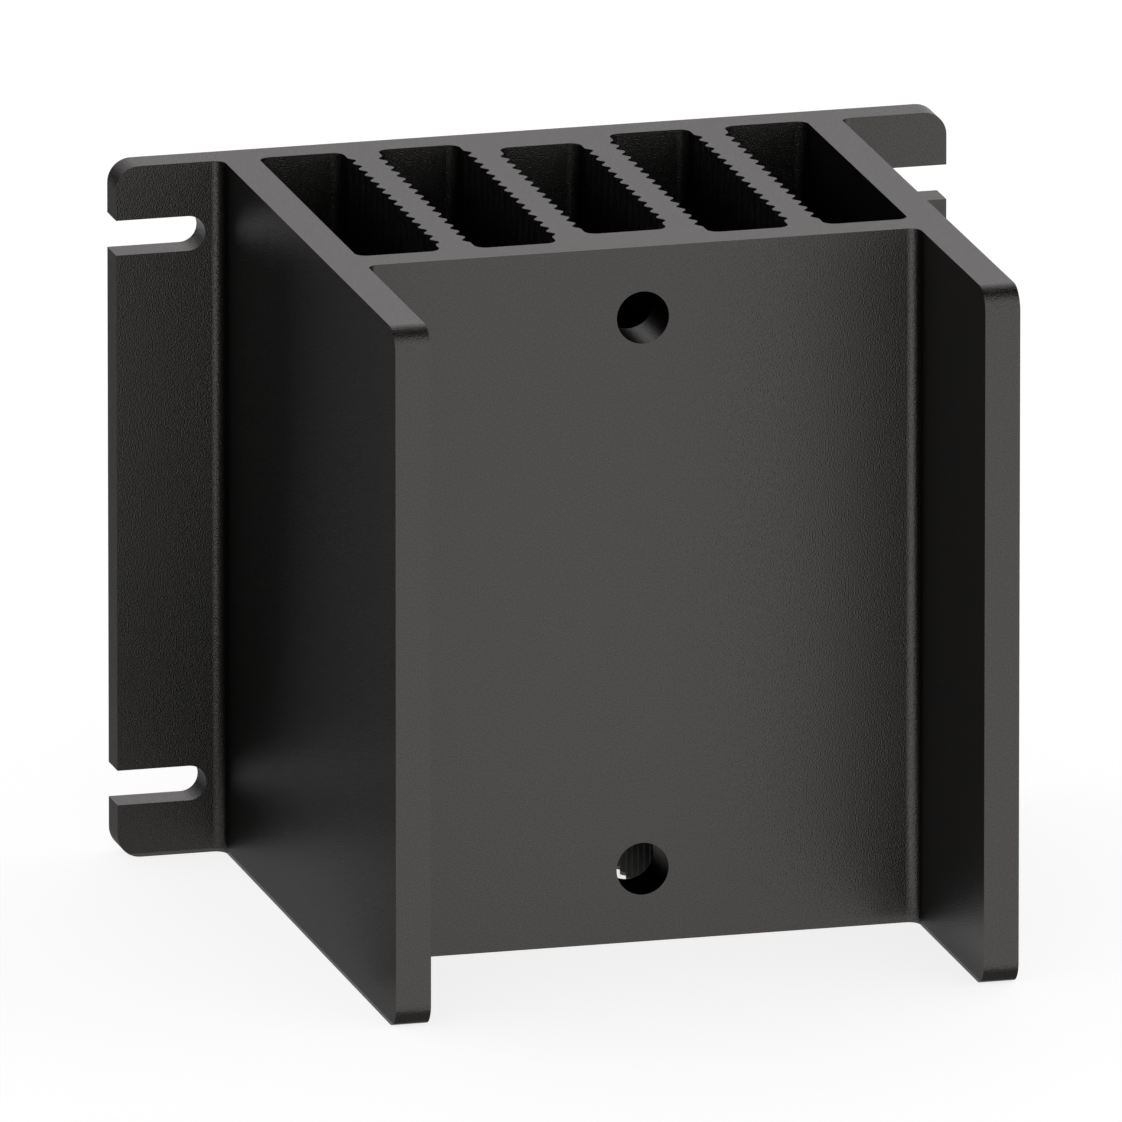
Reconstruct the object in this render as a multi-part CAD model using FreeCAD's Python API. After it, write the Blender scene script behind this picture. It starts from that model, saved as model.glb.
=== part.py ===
import FreeCAD, Part
import os
from math import asin, atan2, cos, floor, hypot, sin, sqrt

# Extruded aluminium heat sink for a panel relay, in millimetres.
# It is one length of extrusion. A rear flange is screwed to the panel, and two side walls stand
# forward of it. A plate across the walls carries the relay, and toothed fins between plate and
# flange part the space behind it into open air cells. The walls reach past the plate on both
# sides of the relay. After sawing, the flange is slotted, the plate is drilled and the free
# corners are rounded.
# The origin is the centre of the rear face. X runs across the width, +Y points into the panel,
# and Z runs along the extrusion, up as the part hangs.

# Section, across the width
bay_width = 47.5               # between the side walls, for a relay 45 mm wide
wall_thickness = 3.0
flange_overhang = 9.25         # flange beyond each side wall
fin_pitch = 10.0
fin_thickness = 3.0            # over the tips of the teeth
least_side_cell = 4.0          # least width of a cell between a fin and a side wall

# Section, from the rear face forward
flange_thickness = 3.0
cell_depth = 33.0
plate_thickness = 3.0
screw_wall = 5.0               # metal behind and in front of the middle cell
wall_reach = 21.0              # side walls in front of the plate

# Section, small forms
tooth_pitch = 1.95
tooth_height = 0.5
tooth_radius = 0.49            # tips and grooves alike, with a straight flank between them
tooth_land = 0.5               # least plain strip between a cell's corner and its teeth
cell_radius = 1.0
inside_radius = 1.0            # flange to wall, and plate to wall

# Relay screw holes, and the metal above and below them
relay_hole_diameter = 4.5
relay_hole_spacing = 47.6
metal_below_holes = 6.3
metal_above_holes = 6.1

# Panel screw slots, open at the flange's edges
slot_width = 3.0
slot_from_wall = 3.05          # wall face to the centre of the slot's round end
slot_from_end = 6.125          # sawn end to the middle of the slot

# Rounded free corners
flange_corner_radius = 2.0
wall_corner_radius = 2.0

cutter_overrun = 1.0           # how far a cutting tool runs past the metal
tiny = 0.001

# What follows from them
length = metal_below_holes + relay_hole_spacing + metal_above_holes
bottom = -length / 2
top = length / 2
bay_side = bay_width / 2
wall_side = bay_side + wall_thickness
flange_edge = wall_side + flange_overhang
flange_front = -flange_thickness
plate_rear = flange_front - cell_depth
plate_front = plate_rear - plate_thickness
walls_front = plate_front - wall_reach
middle_cell_rear = -screw_wall
middle_cell_front = plate_front + screw_wall


def point(x, y, z=bottom):
    return FreeCAD.Vector(x, y, z)


def line(start, end):
    return Part.LineSegment(start, end).toShape()


def arc(start, middle, end):
    return Part.Arc(start, middle, end).toShape()


def filled(edges):
    return Part.Face(Part.Wire(Part.__sortEdges__(edges)))


def corner_arc(corner, side_a, side_b, radius):
    """The quarter circle that rounds a right-angled corner between two unit directions."""
    middle = corner + (side_a + side_b) * (radius * (1 - sqrt(0.5)))
    return arc(corner + side_a * radius, middle, corner + side_b * radius)


def outer_outline():
    """The section without its cells, through corners of (x, y, radius)."""
    right_half = [
        (flange_edge, 0, 0),
        (flange_edge, flange_front, 0),
        (wall_side, flange_front, inside_radius),
        (wall_side, walls_front, 0),
        (bay_side, walls_front, 0),
        (bay_side, plate_front, inside_radius),
    ]
    left_half = [(-x, y, radius) for x, y, radius in reversed(right_half)]
    corners = [(point(x, y), radius) for x, y, radius in right_half + left_half]
    edges = []
    neighbours = zip(corners[-1:] + corners, corners, corners[1:] + corners[:1])
    for (before, _), (corner, radius), (after, after_radius) in neighbours:
        back = (before - corner).normalize()
        ahead = (after - corner).normalize()
        if radius:
            edges.append(corner_arc(corner, back, ahead, radius))
        edges.append(line(corner + ahead * radius, after - ahead * after_radius))
    return edges


def cell_side(x, rear, front, into_fin):
    """One side of a cell at x, from its rear corner to its front one.

    into_fin is the way from the cell into the fin along X, or 0 at a plain side wall. Tips and
    grooves are arcs of one radius, joined by straight flanks that are tangent to both. The first
    and last tips flow into the plain strips beside the corners.
    """
    start = rear - cell_radius
    end = front + cell_radius
    grooves = floor((start - end - 2 * tooth_land) / tooth_pitch)
    if not into_fin or grooves < 1:
        return [line(point(x, start), point(x, end))]

    half_pitch = tooth_pitch / 2
    roundest = (half_pitch ** 2 + tooth_height ** 2) / (4 * tooth_height)
    radius = min(tooth_radius, roundest - tiny)
    overlap = 2 * radius - tooth_height
    flank_angle = asin(2 * radius / hypot(half_pitch, overlap)) - atan2(overlap, half_pitch)
    arc_half = radius * sin(flank_angle)
    arc_depth = radius * (1 - cos(flank_angle))
    first = (rear + front + grooves * tooth_pitch) / 2
    last = first - grooves * tooth_pitch

    def at(depth, y):
        return point(x + into_fin * depth, y)

    def half_tip(tip, way):
        middle = at(radius * (1 - cos(flank_angle / 2)), tip + way * radius * sin(flank_angle / 2))
        return arc(at(0, tip), middle, at(arc_depth, tip + way * arc_half))

    edges = [line(at(0, start), at(0, first)), half_tip(first, -1)]
    for number in range(grooves):
        tip = first - number * tooth_pitch
        groove = tip - half_pitch
        next_tip = tip - tooth_pitch
        groove_start = at(tooth_height - arc_depth, groove + arc_half)
        groove_end = at(tooth_height - arc_depth, groove - arc_half)
        next_tip_start = at(arc_depth, next_tip + arc_half)
        edges.append(line(at(arc_depth, tip - arc_half), groove_start))
        edges.append(arc(groove_start, at(tooth_height, groove), groove_end))
        edges.append(line(groove_end, next_tip_start))
        if number < grooves - 1:
            edges.append(arc(next_tip_start, at(0, next_tip), at(arc_depth, next_tip - arc_half)))
    return edges + [half_tip(last, 1), line(at(0, last), at(0, end))]


def cell(left, right):
    """The open space between two fins, or between a fin and a side wall."""
    in_middle = left < 0 < right
    rear = middle_cell_rear if in_middle else flange_front
    front = middle_cell_front if in_middle else plate_rear
    across = FreeCAD.Vector(1, 0, 0)
    forward = FreeCAD.Vector(0, -1, 0)
    edges = cell_side(left, rear, front, -1 if left > -bay_side else 0)
    edges += cell_side(right, rear, front, 1 if right < bay_side else 0)
    for y, away in ((rear, forward), (front, -forward)):
        edges.append(corner_arc(point(left, y), across, away, cell_radius))
        edges.append(corner_arc(point(right, y), -across, away, cell_radius))
        edges.append(line(point(left + cell_radius, y), point(right - cell_radius, y)))
    return filled(edges)


def extrusion():
    room_for_fins = bay_side - least_side_cell - (fin_pitch + fin_thickness) / 2
    fins_each_side = floor(room_for_fins / fin_pitch) + 1
    fins = [fin_pitch * (number + 0.5) for number in range(-fins_each_side, fins_each_side)]
    cell_lefts = [-bay_side] + [fin + fin_thickness / 2 for fin in fins]
    cell_rights = [fin - fin_thickness / 2 for fin in fins] + [bay_side]
    section = filled(outer_outline())
    for left, right in zip(cell_lefts, cell_rights):
        section = section.cut(cell(left, right))
    return section.Faces[0].extrude(FreeCAD.Vector(0, 0, length))


def rounded(solid, radius, across):
    """Rounds the corner edges at both sawn ends that the test across(centre) picks out."""
    edges = [edge for edge in solid.Edges
             if abs(abs(edge.CenterOfMass.z) - top) < tiny and across(edge.CenterOfMass)]
    return solid.makeFillet(radius, edges)


def panel_slot(side, z):
    """Cutter for one slot, with its round end towards the wall. side is +1 or -1."""
    seat = side * (wall_side + slot_from_wall)
    outside = side * (flange_edge + cutter_overrun)
    round_end = seat - side * slot_width / 2
    y = flange_front - cutter_overrun
    upper = z + slot_width / 2
    lower = z - slot_width / 2
    outline = filled([
        arc(point(seat, y, upper), point(round_end, y, z), point(seat, y, lower)),
        line(point(seat, y, lower), point(outside, y, lower)),
        line(point(outside, y, lower), point(outside, y, upper)),
        line(point(outside, y, upper), point(seat, y, upper)),
    ])
    return outline.extrude(FreeCAD.Vector(0, flange_thickness + 2 * cutter_overrun, 0))


def relay_hole(z):
    """Drill for one relay screw, from the plate's front face into the middle cell."""
    start = point(0, plate_front - cutter_overrun, z)
    depth = screw_wall + 2 * cutter_overrun
    return Part.makeCylinder(relay_hole_diameter / 2, depth, start, FreeCAD.Vector(0, 1, 0))


def heat_sink():
    solid = extrusion()
    solid = rounded(solid, flange_corner_radius, lambda at: abs(at.x) > flange_edge - tiny)
    solid = rounded(solid, wall_corner_radius, lambda at: at.y < walls_front + tiny)
    slots = [panel_slot(side, z) for side in (-1, 1)
             for z in (bottom + slot_from_end, top - slot_from_end)]
    holes = [relay_hole(z) for z in (bottom + metal_below_holes, top - metal_above_holes)]
    return solid.cut(slots + holes)


os.makedirs("parts", exist_ok=True)
heat_sink().Solids[0].exportStep("parts/heat_sink.step")
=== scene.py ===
from math import cos, pi, radians, sin

import bpy
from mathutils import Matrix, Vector


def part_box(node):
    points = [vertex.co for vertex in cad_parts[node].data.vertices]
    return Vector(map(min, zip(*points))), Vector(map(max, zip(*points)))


# The looks of the extruded heat sink: its black anodised finish, a white studio, and a camera
# that stands where the photograph's does. Lengths are in metres and angles in degrees, apart
# from the lens and its sensor.

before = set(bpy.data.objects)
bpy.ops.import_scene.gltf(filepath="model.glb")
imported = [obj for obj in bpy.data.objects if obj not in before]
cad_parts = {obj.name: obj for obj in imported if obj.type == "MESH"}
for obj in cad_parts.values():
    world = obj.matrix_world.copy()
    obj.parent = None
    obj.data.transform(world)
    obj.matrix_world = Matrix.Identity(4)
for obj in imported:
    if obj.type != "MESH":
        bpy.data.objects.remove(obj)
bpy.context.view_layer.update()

# Camera. The photograph is close to a parallel view, so a very long lens is used. The azimuth is
# from -Y, the way the object's front looks, and negative to the left.
VIEW_AZIMUTH = -14.85
VIEW_ELEVATION = 15.35
VIEW_CENTRE = Vector((-0.00466, -0.030, 0.00085))
FRAME_WIDTH = 0.09358          # what the picture spans at the view's centre
LENS, SENSOR = 1500, 36        # in millimetres
CLIP_NEAR, CLIP_FAR = 0.1, 3   # in shares of the camera's distance

# Floor
FLOOR_HALF = 4.0               # half the length of its sides
FLOOR_COLOUR = (0.32, 0.32, 0.32, 1)
FLOOR_GLOW = (0.80, 0.80, 0.80, 1)     # added for the camera and for reflections alone

# Room: white walls all round, and a dark ceiling
ROOM_WHITE = 1.0
CEILING_WHITE = 0.0
CEILING_FROM = 0.72            # height of the direction, 0 at the horizon and 1 straight up
CEILING_FULL = 0.93

# Soft box behind the object, to its right and above
BOX_AZIMUTH = 22
BOX_ELEVATION = 27
BOX_DISTANCE = 1.5
BOX_WIDTH = 1.6
BOX_HEIGHT = 1.10
BOX_RADIANCE = 0.42

# Cloths and curtains, seen in reflections alone. They give the object's left faces their dark
# tones. A grey cloth lies on the floor from the foot of the left wall round to the left, and a
# nearly black one lies over it, further round. A grey and a nearly black curtain stand along
# their rims. Azimuths are from +Y, the way the object's rear looks, and negative to the left.
GREY_FOOT = (-0.0268, -0.060)
GREY_FROM, GREY_TO = 2, -70
GREY_LEVEL = 0.40
GREY_CURTAIN_FROM, GREY_CURTAIN_TO = 5, -8
GREY_CURTAIN_LEVEL = 0.50
BLACK_FOOT = (-0.0292, -0.047)
BLACK_FROM, BLACK_TO = -21, -132
BLACK_CURTAIN_FROM = GREY_CURTAIN_TO
BLACK_LEVEL = 0.05
CLOTH_RADIUS = 0.60
CURTAIN_HEIGHT = 0.23
CLOTH_LIFT = 0.0003            # above the floor
BLACK_LIFT = 2 * CLOTH_LIFT    # so that black lies above grey

# Painted shade: strips on the floor, darker than it and seen in reflections alone, that paint the shade
# falling on the floor close to the object into its reflections. One lies under the rounded front end of
# each side wall, one under the cells, and one along the foot of the right wall, inside the bay
TOE_INNER, TOE_OUTER = 0.0200, 0.0310
TOE_REAR, TOE_FRONT = -0.0590, -0.0613
TOE_SHADE_LEVEL = 0.25
CELLS_ACROSS = (-0.0237, 0.0237)
CELLS_ALONG = (-0.0360, -0.0030)
CELLS_SHADE_LEVEL = 0.20
BAY_STRIP_ACROSS = (0.0205, 0.0238)
BAY_STRIP_ALONG = (-0.040, -0.059)
BAY_SHADE_LEVEL = 0.43

# White card behind the round end of the upper left slot. Its light falls through the slot on the
# wall beside it.
SLOT_CARD_ACROSS = (-0.0330, -0.0285)
SLOT_CARD_HEIGHTS = (0.0175, 0.0228)
SLOT_CARD_BEHIND = 0.008
SLOT_CARD_LEVEL = 0.95

# Black anodised finish
ANODISED_DARK = (0.0665, 0.0645, 0.0617, 1)
ANODISED_LIGHT = (0.0950, 0.0921, 0.0881, 1)
ANODISED_METALLIC = 1.0
SMOOTHEST, ROUGHEST = 0.285, 0.315
EDGE_TINT = (0.645, 0.633, 0.650, 1)   # of grazing reflections
GRAIN_SCALE = 8000             # grains of about 0.12 mm
GRAIN_DETAIL = 1
GRAIN_DEPTH = 0.000042
GRAIN_LOW, GRAIN_HIGH = 0.3, 0.7       # the noise hardly ever leaves this range


def node(tree, kind, **settings):
    made = tree.nodes.new(kind)
    for name, value in settings.items():
        setattr(made, name, value)
    return made


def link(tree, source, output, target, slot):
    tree.links.new(source.outputs[output], target.inputs[slot])


def empty_material(name):
    material = bpy.data.materials.new(name)
    material.use_nodes = True
    material.node_tree.nodes.clear()
    return material, material.node_tree


def black_anodised():
    """Satin black oxide on etched aluminium: a fine grain, and a slightly uneven gloss."""
    material, tree = empty_material("black_anodised")
    output = node(tree, "ShaderNodeOutputMaterial")
    surface = node(tree, "ShaderNodeBsdfPrincipled")
    surface.inputs["Metallic"].default_value = ANODISED_METALLIC
    surface.inputs["Specular Tint"].default_value = EDGE_TINT
    link(tree, surface, "BSDF", output, "Surface")

    place = node(tree, "ShaderNodeTexCoord")
    grain = node(tree, "ShaderNodeTexNoise")
    grain.inputs["Scale"].default_value = GRAIN_SCALE
    grain.inputs["Detail"].default_value = GRAIN_DETAIL
    link(tree, place, "Object", grain, "Vector")

    shades = node(tree, "ShaderNodeValToRGB")
    shades.color_ramp.elements[0].position = GRAIN_LOW
    shades.color_ramp.elements[0].color = ANODISED_DARK
    shades.color_ramp.elements[1].position = GRAIN_HIGH
    shades.color_ramp.elements[1].color = ANODISED_LIGHT
    link(tree, grain, "Fac", shades, "Fac")
    link(tree, shades, "Color", surface, "Base Color")

    gloss = node(tree, "ShaderNodeMapRange")
    gloss.inputs["From Min"].default_value = GRAIN_LOW
    gloss.inputs["From Max"].default_value = GRAIN_HIGH
    gloss.inputs["To Min"].default_value = SMOOTHEST
    gloss.inputs["To Max"].default_value = ROUGHEST
    link(tree, grain, "Fac", gloss, "Value")
    link(tree, gloss, "Result", surface, "Roughness")

    bump = node(tree, "ShaderNodeBump")
    bump.inputs["Distance"].default_value = GRAIN_DEPTH
    bump.inputs["Strength"].default_value = 1
    link(tree, grain, "Fac", bump, "Height")
    link(tree, bump, "Normal", surface, "Normal")
    return material


def floor_finish():
    """Matt white. The glow shows it as white to the camera and in reflections, and its
    diffuse part keeps the object's shadow."""
    material, tree = empty_material("white_floor")
    output = node(tree, "ShaderNodeOutputMaterial")
    matt = node(tree, "ShaderNodeBsdfDiffuse")
    matt.inputs["Color"].default_value = FLOOR_COLOUR
    glow = node(tree, "ShaderNodeEmission")
    glow.inputs["Color"].default_value = FLOOR_GLOW
    rays = node(tree, "ShaderNodeLightPath")
    reflected = node(tree, "ShaderNodeMath", operation="ADD")
    seen = node(tree, "ShaderNodeMath", operation="ADD")
    both = node(tree, "ShaderNodeAddShader")
    link(tree, rays, "Is Glossy Ray", reflected, 0)
    link(tree, rays, "Is Transmission Ray", reflected, 1)
    link(tree, rays, "Is Camera Ray", seen, 0)
    link(tree, reflected, "Value", seen, 1)
    link(tree, seen, "Value", glow, "Strength")
    link(tree, matt, "BSDF", both, 0)
    link(tree, glow, "Emission", both, 1)
    link(tree, both, "Shader", output, "Surface")
    return material


def add_floor():
    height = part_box("heat_sink")[0].z
    corners = [(-1, -1), (1, -1), (1, 1), (-1, 1)]
    mesh = bpy.data.meshes.new("floor")
    mesh.from_pydata([(x * FLOOR_HALF, y * FLOOR_HALF, height) for x, y in corners], [], [(0, 1, 2, 3)])
    mesh.materials.append(floor_finish())
    floor = bpy.data.objects.new("floor", mesh)
    bpy.context.scene.collection.objects.link(floor)


def add_room():
    world = bpy.data.worlds.new("room")
    bpy.context.scene.world = world
    world.use_nodes = True
    world.cycles.sampling_method = "NONE"      # the room is too plain to need a light map
    tree = world.node_tree
    tree.nodes.clear()
    output = node(tree, "ShaderNodeOutputWorld")
    background = node(tree, "ShaderNodeBackground")
    direction = node(tree, "ShaderNodeTexCoord")
    height = node(tree, "ShaderNodeSeparateXYZ")
    fade = node(tree, "ShaderNodeMapRange", interpolation_type="SMOOTHSTEP")
    fade.inputs["From Min"].default_value = CEILING_FROM
    fade.inputs["From Max"].default_value = CEILING_FULL
    fade.inputs["To Min"].default_value = ROOM_WHITE
    fade.inputs["To Max"].default_value = CEILING_WHITE
    background.inputs["Color"].default_value = (1, 1, 1, 1)
    link(tree, direction, "Generated", height, "Vector")
    link(tree, height, "Z", fade, "Value")
    link(tree, fade, "Result", background, "Strength")
    link(tree, background, "Background", output, "Surface")


def away(azimuth, elevation):
    """Unit vector that far round from +Y towards +X, and that far above the horizon."""
    turn, rise = radians(azimuth), radians(elevation)
    return Vector((sin(turn) * cos(rise), cos(turn) * cos(rise), sin(rise)))


def add_soft_box():
    """An area lamp. Its power is its radiance times pi and its area."""
    lamp = bpy.data.lights.new("soft_box", "AREA")
    lamp.shape = "RECTANGLE"
    lamp.size = BOX_WIDTH
    lamp.size_y = BOX_HEIGHT
    lamp.energy = BOX_RADIANCE * pi * BOX_WIDTH * BOX_HEIGHT
    box = bpy.data.objects.new("soft_box", lamp)
    outward = away(BOX_AZIMUTH, BOX_ELEVATION)
    box.location = outward * BOX_DISTANCE
    box.rotation_euler = (-outward).to_track_quat("-Z", "Y").to_euler()
    box.visible_camera = False
    bpy.context.scene.collection.objects.link(box)


def card(name, corners, faces, level):
    """Something that shows in reflections alone, as bright as level, where the floor is about 1."""
    material, tree = empty_material(name)
    shade = node(tree, "ShaderNodeEmission")
    shade.inputs["Strength"].default_value = level
    link(tree, shade, "Emission", node(tree, "ShaderNodeOutputMaterial"), "Surface")
    mesh = bpy.data.meshes.new(name)
    mesh.from_pydata(corners, [], faces)
    mesh.materials.append(material)
    made = bpy.data.objects.new(name, mesh)
    made.visible_camera = False
    made.visible_diffuse = False
    made.visible_shadow = False
    bpy.context.scene.collection.objects.link(made)


def around(foot, start, end, lift):
    """The foot and, at CLOTH_RADIUS from it, a rim with a point at each degree from start down
    to end. Both lie that lift above the floor."""
    centre = Vector((*foot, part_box("heat_sink")[0].z + lift))
    rim = [centre + away(azimuth, 0) * CLOTH_RADIUS for azimuth in range(start, end - 1, -1)]
    return centre, rim


def cloth(name, foot, start, end, level, lift):
    """A sector of the floor, from one azimuth round to the other."""
    centre, rim = around(foot, start, end, lift)
    card(name, [centre] + rim, [(0, *range(1, len(rim) + 1))], level)


def curtain(name, foot, start, end, level, lift):
    """An upright band that stands where a cloth of that foot would end."""
    _, rim = around(foot, start, end, lift)
    top = [point + Vector((0, 0, CURTAIN_HEIGHT)) for point in rim]
    count = len(rim)
    faces = [(step, step + 1, count + step + 1, count + step) for step in range(count - 1)]
    card(name, rim + top, faces, level)


def rectangle(name, rows, level):
    """A card through four corners, given as two rows that run the same way."""
    card(name, rows, [(0, 1, 3, 2)], level)


def strip(name, across, along, level):
    """A rectangle on the floor, between two values of x and two of y."""
    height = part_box("heat_sink")[0].z + CLOTH_LIFT
    rectangle(name, [(x, y, height) for y in along for x in across], level)


def add_cards():
    cloth("grey_cloth", GREY_FOOT, GREY_FROM, GREY_TO, GREY_LEVEL, CLOTH_LIFT)
    cloth("black_cloth", BLACK_FOOT, BLACK_FROM, BLACK_TO, BLACK_LEVEL, BLACK_LIFT)
    curtain("grey_curtain", GREY_FOOT, GREY_CURTAIN_FROM, GREY_CURTAIN_TO, GREY_CURTAIN_LEVEL, CLOTH_LIFT)
    curtain("black_curtain", BLACK_FOOT, BLACK_CURTAIN_FROM, BLACK_TO, BLACK_LEVEL, BLACK_LIFT)
    # painted shade, seen in reflections alone: darker floor under the rounded front ends of the side
    # walls
    for name, side in (("left_toe_shade", -1), ("right_toe_shade", 1)):
        strip(name, (side * TOE_INNER, side * TOE_OUTER), (TOE_REAR, TOE_FRONT), TOE_SHADE_LEVEL)
    slot_card = [(x, SLOT_CARD_BEHIND, z) for z in SLOT_CARD_HEIGHTS for x in SLOT_CARD_ACROSS]
    rectangle("slot_card", slot_card, SLOT_CARD_LEVEL)
    # painted shade, seen in reflections alone: darker floor under the cells
    strip("cell_shade_strip", CELLS_ACROSS, CELLS_ALONG, CELLS_SHADE_LEVEL)
    # painted shade, seen in reflections alone: darker floor along the foot of the right wall, inside the
    # bay
    strip("bay_shade_strip", BAY_STRIP_ACROSS, BAY_STRIP_ALONG, BAY_SHADE_LEVEL)


def add_camera():
    data = bpy.data.cameras.new("camera")
    data.lens = LENS
    data.sensor_width = SENSOR
    distance = FRAME_WIDTH * LENS / SENSOR
    data.clip_start = distance * CLIP_NEAR
    data.clip_end = distance * CLIP_FAR
    back = away(180 - VIEW_AZIMUTH, VIEW_ELEVATION)
    camera = bpy.data.objects.new("camera", data)
    camera.location = VIEW_CENTRE + back * distance
    camera.rotation_euler = (-back).to_track_quat("-Z", "Y").to_euler()
    bpy.context.scene.collection.objects.link(camera)
    bpy.context.scene.camera = camera


heat_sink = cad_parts["heat_sink"]
finish = black_anodised()
for slot in heat_sink.material_slots:
    slot.material = finish

add_floor()
add_room()
add_soft_box()
add_cards()
add_camera()
bpy.context.scene.view_settings.view_transform = "Standard"
